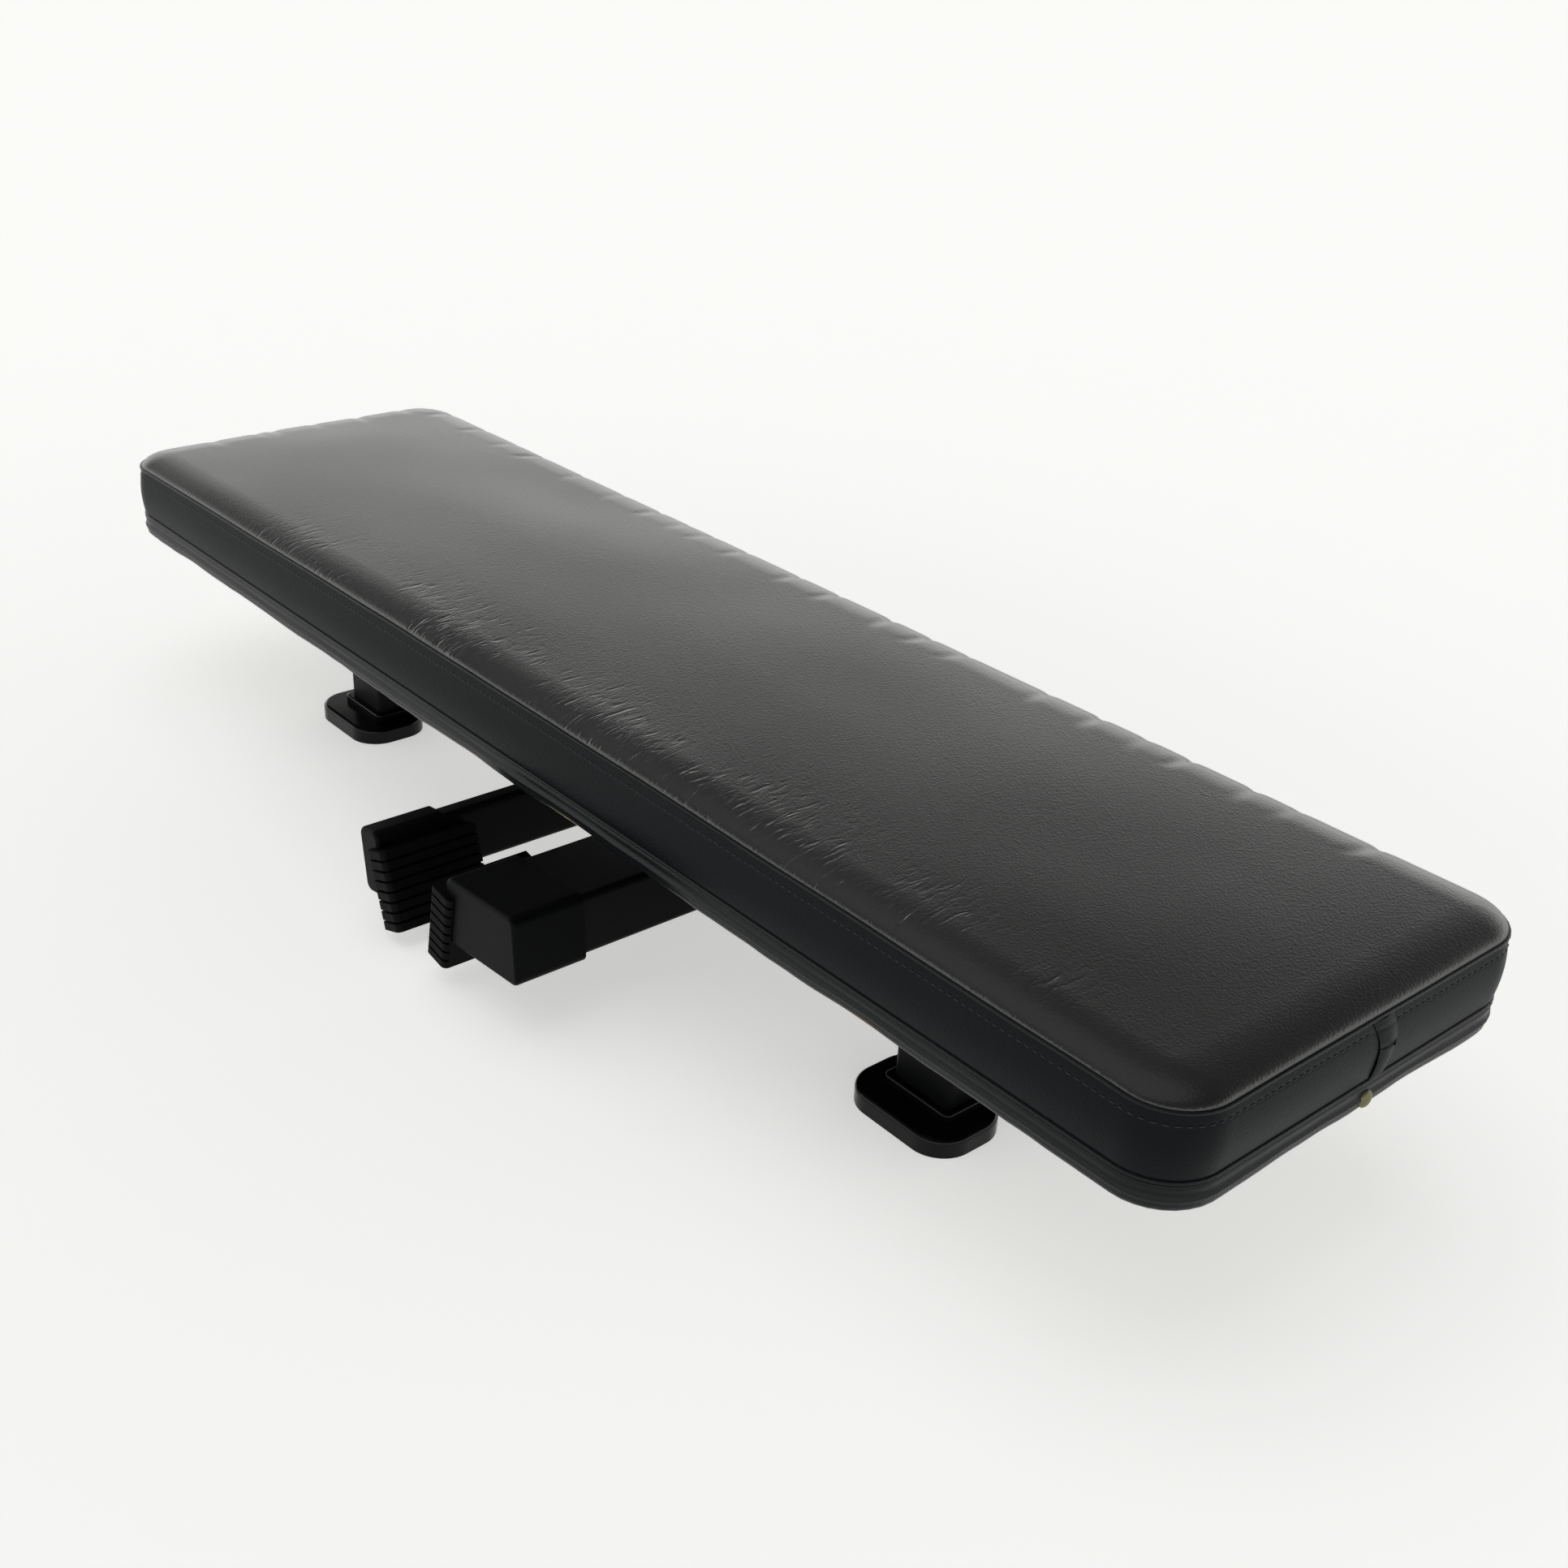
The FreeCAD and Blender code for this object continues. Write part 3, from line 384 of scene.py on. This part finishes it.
def vinyl(name, dark, light, roughness, specular, creased=False, sewn_down=False):
    """Satin black vinyl: creased adds short creases along the right edge of a top panel, and
    sewn_down draws a side strip in along its top stitching."""
    material = bpy.data.materials.new(name)
    material.use_nodes = True
    tree = material.node_tree
    shader = tree.nodes["Principled BSDF"]
    shader.inputs["Specular IOR Level"].default_value = specular
    grain = tree.nodes.new("ShaderNodeGroup")
    grain.node_tree = leather_grain
    grain.inputs["Pebbles per metre"].default_value = PEBBLES_PER_METRE
    tint = tree.nodes.new("ShaderNodeMix")
    tint.data_type = "RGBA"
    tint.inputs["A"].default_value = (*dark, 1.0)
    tint.inputs["B"].default_value = (*light, 1.0)
    tree.links.new(grain.outputs["Tone"], tint.inputs["Factor"])
    tree.links.new(tint.outputs["Result"], shader.inputs["Base Color"])
    gloss = tree.nodes.new("ShaderNodeMapRange")
    gloss.inputs["To Min"].default_value = roughness - 0.05
    gloss.inputs["To Max"].default_value = roughness + 0.06
    tree.links.new(grain.outputs["Tone"], gloss.inputs["Value"])
    tree.links.new(gloss.outputs["Result"], shader.inputs["Roughness"])
    height = node_math(tree, "MULTIPLY", grain.outputs["Height"], GRAIN_DEPTH)
    place = tree.nodes.new("ShaderNodeTexCoord")
    split = tree.nodes.new("ShaderNodeSeparateXYZ")
    tree.links.new(place.outputs["Object"], split.inputs["Vector"])
    if sewn_down:
        off_stitch = node_math(tree, "SUBTRACT", split.outputs["Z"], STITCH_LEVEL)
        off_stitch = node_math(tree, "ABSOLUTE", off_stitch, 0.0)
        drawn_in = node_range(tree, off_stitch, STITCH_DIP_REACH, 0.0)
        height = node_math(tree, "SUBTRACT", height, node_math(tree, "MULTIPLY", drawn_in, STITCH_DIP))
    if creased:
        near_edge = node_range(tree, split.outputs["Y"], -0.060, -0.118)
        along = node_math(tree, "MULTIPLY",
                          node_range(tree, split.outputs["X"], -0.42, -0.20),
                          node_range(tree, split.outputs["X"], 0.50, 0.40))
        stretch = tree.nodes.new("ShaderNodeMapping")
        stretch.inputs["Scale"].default_value = CREASES_PER_METRE
        tree.links.new(place.outputs["Object"], stretch.inputs["Vector"])
        folds = tree.nodes.new("ShaderNodeTexNoise")
        folds.noise_type = "RIDGED_MULTIFRACTAL"
        folds.inputs["Scale"].default_value = 1.0
        folds.inputs["Detail"].default_value = 2.0
        folds.inputs["Distortion"].default_value = 0.6
        tree.links.new(stretch.outputs["Vector"], folds.inputs["Vector"])
        patch = tree.nodes.new("ShaderNodeTexNoise")
        patch.inputs["Scale"].default_value = 14.0
        tree.links.new(place.outputs["Object"], patch.inputs["Vector"])
        crumpled = node_math(tree, "MULTIPLY", near_edge, along)
        crumpled = node_math(tree, "MULTIPLY", crumpled, node_range(tree, patch.outputs["Fac"], 0.36, 0.50))
        creases = node_math(tree, "MULTIPLY", folds.outputs["Fac"], crumpled)
        height = node_math(tree, "SUBTRACT", height, node_math(tree, "MULTIPLY", creases, CREASE_DEPTH))
    bump = tree.nodes.new("ShaderNodeBump")
    bump.inputs["Strength"].default_value = 1.0
    bump.inputs["Distance"].default_value = 1.0
    tree.links.new(height, bump.inputs["Height"])
    tree.links.new(bump.outputs["Normal"], shader.inputs["Normal"])
    return material


# The side strip and the base band are the same black vinyl as the top panel, but they are given darker,
# bluish colours. This is painted shade on the cover's upright faces, its seam welt and its base.
top_vinyl = vinyl("top_panel_vinyl", (0.0066, 0.0075, 0.0066), (0.0104, 0.0114, 0.0102), 0.31, 0.50,
                  creased=True)
side_vinyl_painted_shade = vinyl("side_strip_vinyl_painted_shade", (0.0020, 0.0032, 0.0040), (0.0034, 0.0048, 0.0058), 0.40, 0.08,
                   sewn_down=True)
band_vinyl_painted_shade = vinyl("base_band_shaded_vinyl", (0.0030, 0.0043, 0.0049), (0.0050, 0.0066, 0.0071), 0.30, 0.15)
cover.data.materials.append(top_vinyl)
cover.data.materials.append(side_vinyl_painted_shade)
for face in cover_faces:
    gap, out = outline(face.center.x, face.center.y)
    face.material_index = 1 if face.center.z < seam_level and gap > -0.006 else 0
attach(cover, "bench")
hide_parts("pad_cover", "foam_core")


# ---- Sewn seam, stitches and closing flap --------------------------------------------------------
# The cap's top seam is a thin raised welt with a row of top stitching under it. At the front end
# the side strip's two ends overlap in a narrow flap that is drawn down and pinned at the base.
WELT_RADIUS = 0.0012
WELT_OUT = 0.0002
RING_SPACING = 0.012
STITCH_PITCH = 0.0052
STITCH_SIZE = (0.0019, 0.00030, 0.00026)
THREAD_COLOUR = (0.006, 0.0075, 0.008, 1.0)
TWISTS_PER_METRE = 2500.0
TWIST_DEPTH = 0.00005
FLAP_TOP = (-0.0020, 0.0150)     # the flap's two edges at the top seam
FLAP_FOOT = (0.0060, 0.0170)     # and at its foot
FLAP_BOW = 0.0060
FLAP_THICKNESS = 0.0016
FLAP_OUT = 0.0006
FLAP_CROWN = 0.0009
FLAP_EDGE = 0.0004
FLAP_ROWS = 20


def ring_stations(spacing):
    """Places round the pad's plan outline: (point on the outline, the way straight out), in order."""
    straight_x = half_length - CORNER_RADIUS
    straight_y = half_width - CORNER_RADIUS
    found = []
    for quarter, (sign_x, sign_y) in enumerate(((1, 1), (-1, 1), (-1, -1), (1, -1))):
        centre = Vector((sign_x * straight_x, sign_y * straight_y, 0))
        bend_count = max(8, int(CORNER_RADIUS * math.pi / 2 / spacing))
        for step in range(bend_count):
            angle = math.pi / 2 * (quarter + step / bend_count)
            out = Vector((math.cos(angle), math.sin(angle), 0))
            found.append((centre + out * CORNER_RADIUS, out))
        angle = math.pi / 2 * (quarter + 1)
        out = Vector((math.cos(angle), math.sin(angle), 0))
        start = centre + out * CORNER_RADIUS
        run = 2 * (straight_x if quarter % 2 == 0 else straight_y)
        along = Vector((-out.y, out.x, 0))
        run_count = max(1, int(run / spacing))
        found += [(start + along * (run * step / run_count), out) for step in range(run_count)]
    return found


def swept_ring(name, section, level, spacing, waver):
    """A section of (out, up) points swept round the pad; waver gives each station a small shift."""
    ring = bmesh.new()
    first = bmesh.ops.create_circle(ring, segments=len(section), radius=0.001)["verts"]
    order = ring.verts.layers.int.new("order")
    ring.verts.ensure_lookup_table()
    stations = ring_stations(spacing)
    stations.append(stations[0])
    for index, vert in enumerate(ring.verts):
        vert[order] = index
    rim = list(ring.edges)
    moving = list(ring.verts)
    for number, (point, out) in enumerate(stations):
        if number:
            made = bmesh.ops.extrude_edge_only(ring, edges=rim)["geom"]
            moving = [item for item in made if isinstance(item, bmesh.types.BMVert)]
            fresh = set(moving)
            rim = [item for item in made if isinstance(item, bmesh.types.BMEdge)
                   and item.verts[0] in fresh and item.verts[1] in fresh]
        for vert in moving:
            reach, rise = section[vert[order]]
            shift_out, shift_up = waver(point, rise)
            vert.co = point + out * (reach + shift_out) + Vector((0, 0, level + rise + shift_up))
            vert.co += waist(vert.co)
    bmesh.ops.remove_doubles(ring, verts=ring.verts, dist=1e-6)
    bmesh.ops.recalc_face_normals(ring, faces=ring.faces)
    return new_piece(name, ring)


def round_section(radius, out, up, count=10):
    """Points of a round cord's section, its middle at (out, up)."""
    turns = [math.tau * step / count for step in range(count)]
    return [(out + radius * math.cos(turn), up + radius * math.sin(turn)) for turn in turns]


def slight_waver(point, rise):
    return (0.00025 * noise.noise(point * 22), 0.0005 * noise.noise(point * 16 + Vector((3, 1, 0))))


# The welt takes the darker, bluish vinyl, which gives a painted shade line along the seam.
welt = swept_ring("top_seam_welt", round_section(WELT_RADIUS, WELT_OUT, 0.0), seam_level, RING_SPACING,
                  slight_waver)
welt.data.materials.append(band_vinyl_painted_shade)
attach(welt, "bench")
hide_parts("top_seam_piping")

thread = bpy.data.materials.new("sewing_thread")
thread.use_nodes = True
thread_shader = thread.node_tree.nodes["Principled BSDF"]
thread_shader.inputs["Base Color"].default_value = THREAD_COLOUR
thread_shader.inputs["Roughness"].default_value = 0.5
twist = thread.node_tree.nodes.new("ShaderNodeTexNoise")
twist.inputs["Scale"].default_value = TWISTS_PER_METRE
twist_place = thread.node_tree.nodes.new("ShaderNodeTexCoord")
twist_bump = thread.node_tree.nodes.new("ShaderNodeBump")
twist_bump.inputs["Distance"].default_value = TWIST_DEPTH
thread.node_tree.links.new(twist_place.outputs["Object"], twist.inputs["Vector"])
thread.node_tree.links.new(twist.outputs["Fac"], twist_bump.inputs["Height"])
thread.node_tree.links.new(twist_bump.outputs["Normal"], thread_shader.inputs["Normal"])

stitching = bmesh.new()
stitch_rise = (STITCH_LEVEL - cover_low.z) / (seam_level - cover_low.z)
stitch_out = SIDE_BULGE * math.sin(math.pi * stitch_rise) + STITCH_SIZE[2] * 0.5
for point, out in ring_stations(STITCH_PITCH):
    on_front_end = point.x > half_length - 0.001
    if on_front_end and FLAP_TOP[0] - 0.003 < point.y < FLAP_TOP[1] + 0.004:
        continue
    along = Vector((-out.y, out.x, 0))
    place = point + out * stitch_out + Vector((0, 0, STITCH_LEVEL))
    place += waist(place)
    turn = Matrix((along, Vector((0, 0, 1)), out)).transposed().to_4x4()
    size = Matrix.Diagonal((*STITCH_SIZE, 1.0))
    bmesh.ops.create_uvsphere(stitching, u_segments=6, v_segments=4, radius=1.0,
                              matrix=Matrix.Translation(place) @ turn @ size)
stitches = new_piece("top_stitches", stitching, smooth=False)
stitches.data.materials.append(thread)
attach(stitches, "bench")

flap_bm = bmesh.new()
bmesh.ops.create_grid(flap_bm, x_segments=2, y_segments=FLAP_ROWS, size=1.0)
for vert in flap_bm.verts:
    across = (vert.co.x + 1) / 2
    down = (1 - vert.co.y) / 2
    left = FLAP_TOP[0] + (FLAP_FOOT[0] - FLAP_TOP[0]) * down
    right = FLAP_TOP[1] + (FLAP_FOOT[1] - FLAP_TOP[1]) * down
    side_y = left + (right - left) * across + FLAP_BOW * math.sin(math.pi * down) * (1 - 0.6 * down)
    level = seam_level - 0.0008 + (cover_low.z + 0.0015 - seam_level) * down
    swell = SIDE_BULGE * math.sin(math.pi * (1 - down)) - HEM_TUCK * smoothstep(0.9, 1.0, down)
    face_x = half_length + swell + FLAP_OUT + FLAP_CROWN * math.sin(math.pi * across)
    vert.co = Vector((face_x, side_y, level))
bmesh.ops.solidify(flap_bm, geom=flap_bm.faces, thickness=FLAP_THICKNESS)
bmesh.ops.recalc_face_normals(flap_bm, faces=flap_bm.faces)
sharp = [edge for edge in flap_bm.edges if edge.calc_face_angle(0) > 0.9]
bmesh.ops.bevel(flap_bm, geom=sharp, offset=FLAP_EDGE, segments=2, profile=0.5, affect="EDGES",
                material=-1)
flap = new_piece("closing_flap", flap_bm)
# The flap takes the side strip's darker, bluish vinyl, which is painted shade.
flap.data.materials.append(side_vinyl_painted_shade)
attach(flap, "bench")


# ---- Base piping and base wrap -------------------------------------------------------------------
# A second thin piping closes the cap against the plywood base. The base is wrapped in the same
# vinyl, pulled round its edge by hand, so the band's fold line and lower edge wander a little.
CORD_RADIUS = 0.0013
CORD_IN = 0.0002
CORD_RISE = 0.0003
BAND_SPACING = 0.008
BAND_SECTION = (
    (-0.0300, 0.0000), (-0.0040, 0.0000), (-0.0014, 0.0006), (-0.0002, 0.0020), (0.0003, 0.0042),
    (0.0002, 0.0060), (0.0012, 0.0068), (0.0013, 0.0080), (0.0003, 0.0088), (0.0004, 0.0118),
    (0.0010, 0.0142), (0.0002, 0.0156), (-0.0020, 0.0158), (-0.0022, 0.0100), (-0.0022, 0.0016),
    (-0.0300, 0.0012),
)
BAND_HEIGHT = 0.0158

wrap_low, wrap_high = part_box("base_wrap")
base_piping_low, base_piping_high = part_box("base_piping")
base_level = (base_piping_low.z + base_piping_high.z) / 2


def band_waver(point, rise):
    """The band wanders at its lower edge and stays put where the cap comes down on it."""
    loose = 1 - smoothstep(0.3 * BAND_HEIGHT, BAND_HEIGHT, rise)
    sag = 0.0013 * noise.noise(point * 13) + 0.0006 * noise.noise(point * 60)
    swing = 0.0011 * noise.noise(point * 17 + Vector((5, 2, 0)))
    return (loose * swing, loose * min(0.0002, sag - 0.0004))


def still(point, rise):
    return (0.0, 0.0)


# The piping cord and the base band take the darker, bluish vinyl, which is painted shade round the base.
cord = swept_ring("base_cord", round_section(CORD_RADIUS, -CORD_IN, 0.0), base_level + CORD_RISE,
                  RING_SPACING, still)
cord.data.materials.append(band_vinyl_painted_shade)
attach(cord, "bench")
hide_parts("base_piping")
band = swept_ring("base_band", BAND_SECTION, wrap_low.z, BAND_SPACING, band_waver)
band.data.materials.append(band_vinyl_painted_shade)
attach(band, "bench")
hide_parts("base_wrap")


# ---- Frame, feet, legs and hardware --------------------------------------------------------------
# The plates, posts, leg tubes and foot bars are steel, powder coated satin black. The stub feet are
# glossy mouldings, the caps and soles are rubbery ones, and the fasteners are zinc plated.
SMUDGES_PER_METRE = 38.0


def surface_group():
    """Surface of a moulded or coated part: fine orange peel, dust in patches and a slow smudge."""
    group = bpy.data.node_groups.new("surface_wear", "ShaderNodeTree")
    group.interface.new_socket("Texture per metre", in_out="INPUT", socket_type="NodeSocketFloat")
    group.interface.new_socket("Height", in_out="OUTPUT", socket_type="NodeSocketFloat")
    group.interface.new_socket("Smudge", in_out="OUTPUT", socket_type="NodeSocketFloat")
    inside = group.nodes.new("NodeGroupInput")
    result = group.nodes.new("NodeGroupOutput")
    place = group.nodes.new("ShaderNodeTexCoord")
    peel = group.nodes.new("ShaderNodeTexNoise")
    peel.inputs["Detail"].default_value = 3.0
    smudge = group.nodes.new("ShaderNodeTexNoise")
    smudge.inputs["Scale"].default_value = SMUDGES_PER_METRE
    smudge.inputs["Detail"].default_value = 5.0
    for texture in (peel, smudge):
        group.links.new(place.outputs["Object"], texture.inputs["Vector"])
    group.links.new(inside.outputs["Texture per metre"], peel.inputs["Scale"])
    group.links.new(peel.outputs["Fac"], result.inputs["Height"])
    group.links.new(smudge.outputs["Fac"], result.inputs["Smudge"])
    return group


surface_wear = surface_group()


def finish(name, dark, light, roughness, spread, texture, depth, metallic=0.0, specular=0.5):
    """One of the bench's hard finishes; depth is the height of its texture in metres."""
    material = bpy.data.materials.new(name)
    material.use_nodes = True
    tree = material.node_tree
    shader = tree.nodes["Principled BSDF"]
    shader.inputs["Metallic"].default_value = metallic
    shader.inputs["Specular IOR Level"].default_value = specular
    wear = tree.nodes.new("ShaderNodeGroup")
    wear.node_tree = surface_wear
    wear.inputs["Texture per metre"].default_value = texture
    tint = tree.nodes.new("ShaderNodeMix")
    tint.data_type = "RGBA"
    tint.inputs["A"].default_value = (*dark, 1.0)
    tint.inputs["B"].default_value = (*light, 1.0)
    tree.links.new(wear.outputs["Smudge"], tint.inputs["Factor"])
    tree.links.new(tint.outputs["Result"], shader.inputs["Base Color"])
    gloss = tree.nodes.new("ShaderNodeMapRange")
    gloss.inputs["To Min"].default_value = roughness - spread
    gloss.inputs["To Max"].default_value = roughness + spread
    tree.links.new(wear.outputs["Smudge"], gloss.inputs["Value"])
    tree.links.new(gloss.outputs["Result"], shader.inputs["Roughness"])
    bump = tree.nodes.new("ShaderNodeBump")
    bump.inputs["Strength"].default_value = 1.0
    bump.inputs["Distance"].default_value = depth
    tree.links.new(wear.outputs["Height"], bump.inputs["Height"])
    tree.links.new(bump.outputs["Normal"], shader.inputs["Normal"])
    return material


def put_on(material, *names):
    """Give the named CAD nodes a finish."""
    for name in names:
        mesh = nodes[name].data
        if not mesh.materials:
            mesh.materials.append(material)
        for place in nodes[name].material_slots:
            place.material = material


powder_coat = finish("black_powder_coat", (0.0012, 0.0014, 0.0016), (0.0024, 0.0026, 0.0029), 0.40, 0.06,
                     900.0, 0.00005, specular=0.08)
glossy_moulding = finish("glossy_black_moulding", (0.0015, 0.0016, 0.0018), (0.0030, 0.0030, 0.0034), 0.18,
                         0.05, 200.0, 0.00002, specular=0.16)
cap_moulding = finish("satin_black_moulding", (0.0010, 0.0013, 0.0014), (0.0020, 0.0024, 0.0026), 0.44, 0.06,
                      1400.0, 0.00004, specular=0.05)
sole_rubber = finish("ribbed_rubber", (0.0010, 0.0011, 0.0011), (0.0024, 0.0025, 0.0025), 0.60, 0.08,
                     900.0, 0.00006, specular=0.06)
zinc = finish("zinc_plate", (0.50, 0.51, 0.53), (0.66, 0.67, 0.68), 0.30, 0.08, 500.0, 0.00001,
              metallic=1.0)
black_bolt = finish("black_oxide", (0.020, 0.020, 0.022), (0.035, 0.035, 0.037), 0.38, 0.06, 600.0, 0.00001,
                    metallic=0.6)
knob_plastic = finish("knob_plastic", (0.012, 0.012, 0.013), (0.020, 0.020, 0.021), 0.25, 0.05, 300.0,
                      0.00001)
nylon = finish("natural_nylon", (0.70, 0.69, 0.64), (0.80, 0.79, 0.75), 0.45, 0.05, 600.0, 0.00002)
plywood = finish("birch_plywood", (0.40, 0.27, 0.15), (0.56, 0.41, 0.25), 0.65, 0.05, 120.0, 0.0001)
lining = finish("lining_cloth", (0.012, 0.012, 0.012), (0.020, 0.020, 0.020), 0.9, 0.05, 2200.0, 0.0001,
                specular=0.2)

for end in ("front", "rear"):
    put_on(powder_coat, end + "_mounting_plate", end + "_leg_tube", end + "_foot_bar", end + "_lock_housing")
    put_on(zinc, end + "_pivot_bolt", end + "_pivot_nut", end + "_lock_pin", end + "_lock_spring")
    put_on(knob_plastic, end + "_lock_knob")
    put_on(nylon, end + "_leg_bushes")
    put_on(cap_moulding, end + "_leg_plug")
    for side in ("left", "right"):
        put_on(powder_coat, end + "_" + side + "_post")
        put_on(glossy_moulding, end + "_" + side + "_foot")
        put_on(cap_moulding, end + "_" + side + "_end_cap")
        put_on(sole_rubber, end + "_" + side + "_sole")
put_on(black_bolt, "plate_bolts")
put_on(zinc, "plate_washers", "tee_nuts", "pivot_washers", "cover_staples")
put_on(plywood, "plywood_base")
put_on(lining, "bottom_lining")


# ---- Flap tack -----------------------------------------------------------------------------------
# A domed upholstery tack with a dull brass head, pushed by hand through the flap's foot into the
# board's edge. It sits a little out of line with the flap.
TACK_RADIUS = 0.0050
TACK_HEIGHT = 0.0026
TACK_SHIFT = (0.0006, -0.0015, 0.0012)

tack_low, tack_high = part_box("flap_tack")
tack_bm = bmesh.new()
bmesh.ops.create_uvsphere(tack_bm, u_segments=24, v_segments=12, radius=1.0)
bmesh.ops.scale(tack_bm, vec=(TACK_HEIGHT, TACK_RADIUS, TACK_RADIUS), verts=tack_bm.verts)
bmesh.ops.translate(tack_bm, vec=(tack_low.x + TACK_SHIFT[0],
                                  (tack_low.y + tack_high.y) / 2 + TACK_SHIFT[1],
                                  (tack_low.z + tack_high.z) / 2 + TACK_SHIFT[2]), verts=tack_bm.verts)
tack = new_piece("brass_tack", tack_bm)
dull_brass = finish("dull_brass", (0.09, 0.09, 0.035), (0.17, 0.16, 0.07), 0.45, 0.1, 800.0, 0.00005,
                    metallic=0.5)
tack.data.materials.append(dull_brass)
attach(tack, "bench")
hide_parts("flap_tack")


# ---- Lock springs --------------------------------------------------------------------------------
# Each pull pin is pushed home by a coil spring of plated wire inside the left post. It stands between
# the pin's collar and the post's outer wall, so it closes up while the knob is pulled.
COIL_WIRE = 0.0006
COIL_TURNS = 6
COIL_STEPS = 24                # faces along one turn
COIL_EASE = 0.0001             # gap to the collar and to the post's wall

for end in ("front", "rear"):
    spring_low, spring_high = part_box(end + "_lock_spring")
    axis_x = (spring_low.x + spring_high.x) / 2
    axis_z = (spring_low.z + spring_high.z) / 2
    coil_radius = (spring_high.x - spring_low.x) / 2 - COIL_WIRE
    first_y = spring_low.y + COIL_WIRE + COIL_EASE
    last_y = spring_high.y - COIL_WIRE - COIL_EASE
    steps = COIL_TURNS * COIL_STEPS
    coil_bm = bmesh.new()
    bmesh.ops.create_circle(coil_bm, segments=8, radius=COIL_WIRE,
                            matrix=Matrix.Translation((axis_x + coil_radius, first_y, axis_z)))
    bmesh.ops.spin(coil_bm, geom=list(coil_bm.edges), cent=(axis_x, 0, axis_z), axis=(0, 1, 0),
                   dvec=(0, (last_y - first_y) / steps, 0), angle=math.tau * COIL_TURNS, steps=steps)
    bmesh.ops.holes_fill(coil_bm, edges=[edge for edge in coil_bm.edges if edge.is_boundary])
    bmesh.ops.recalc_face_normals(coil_bm, faces=coil_bm.faces)
    coil = new_piece(end + "_coil_spring", coil_bm)
    coil.data.materials.append(zinc)
    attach(coil, "bench")
    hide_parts(end + "_lock_spring")
    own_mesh(coil)
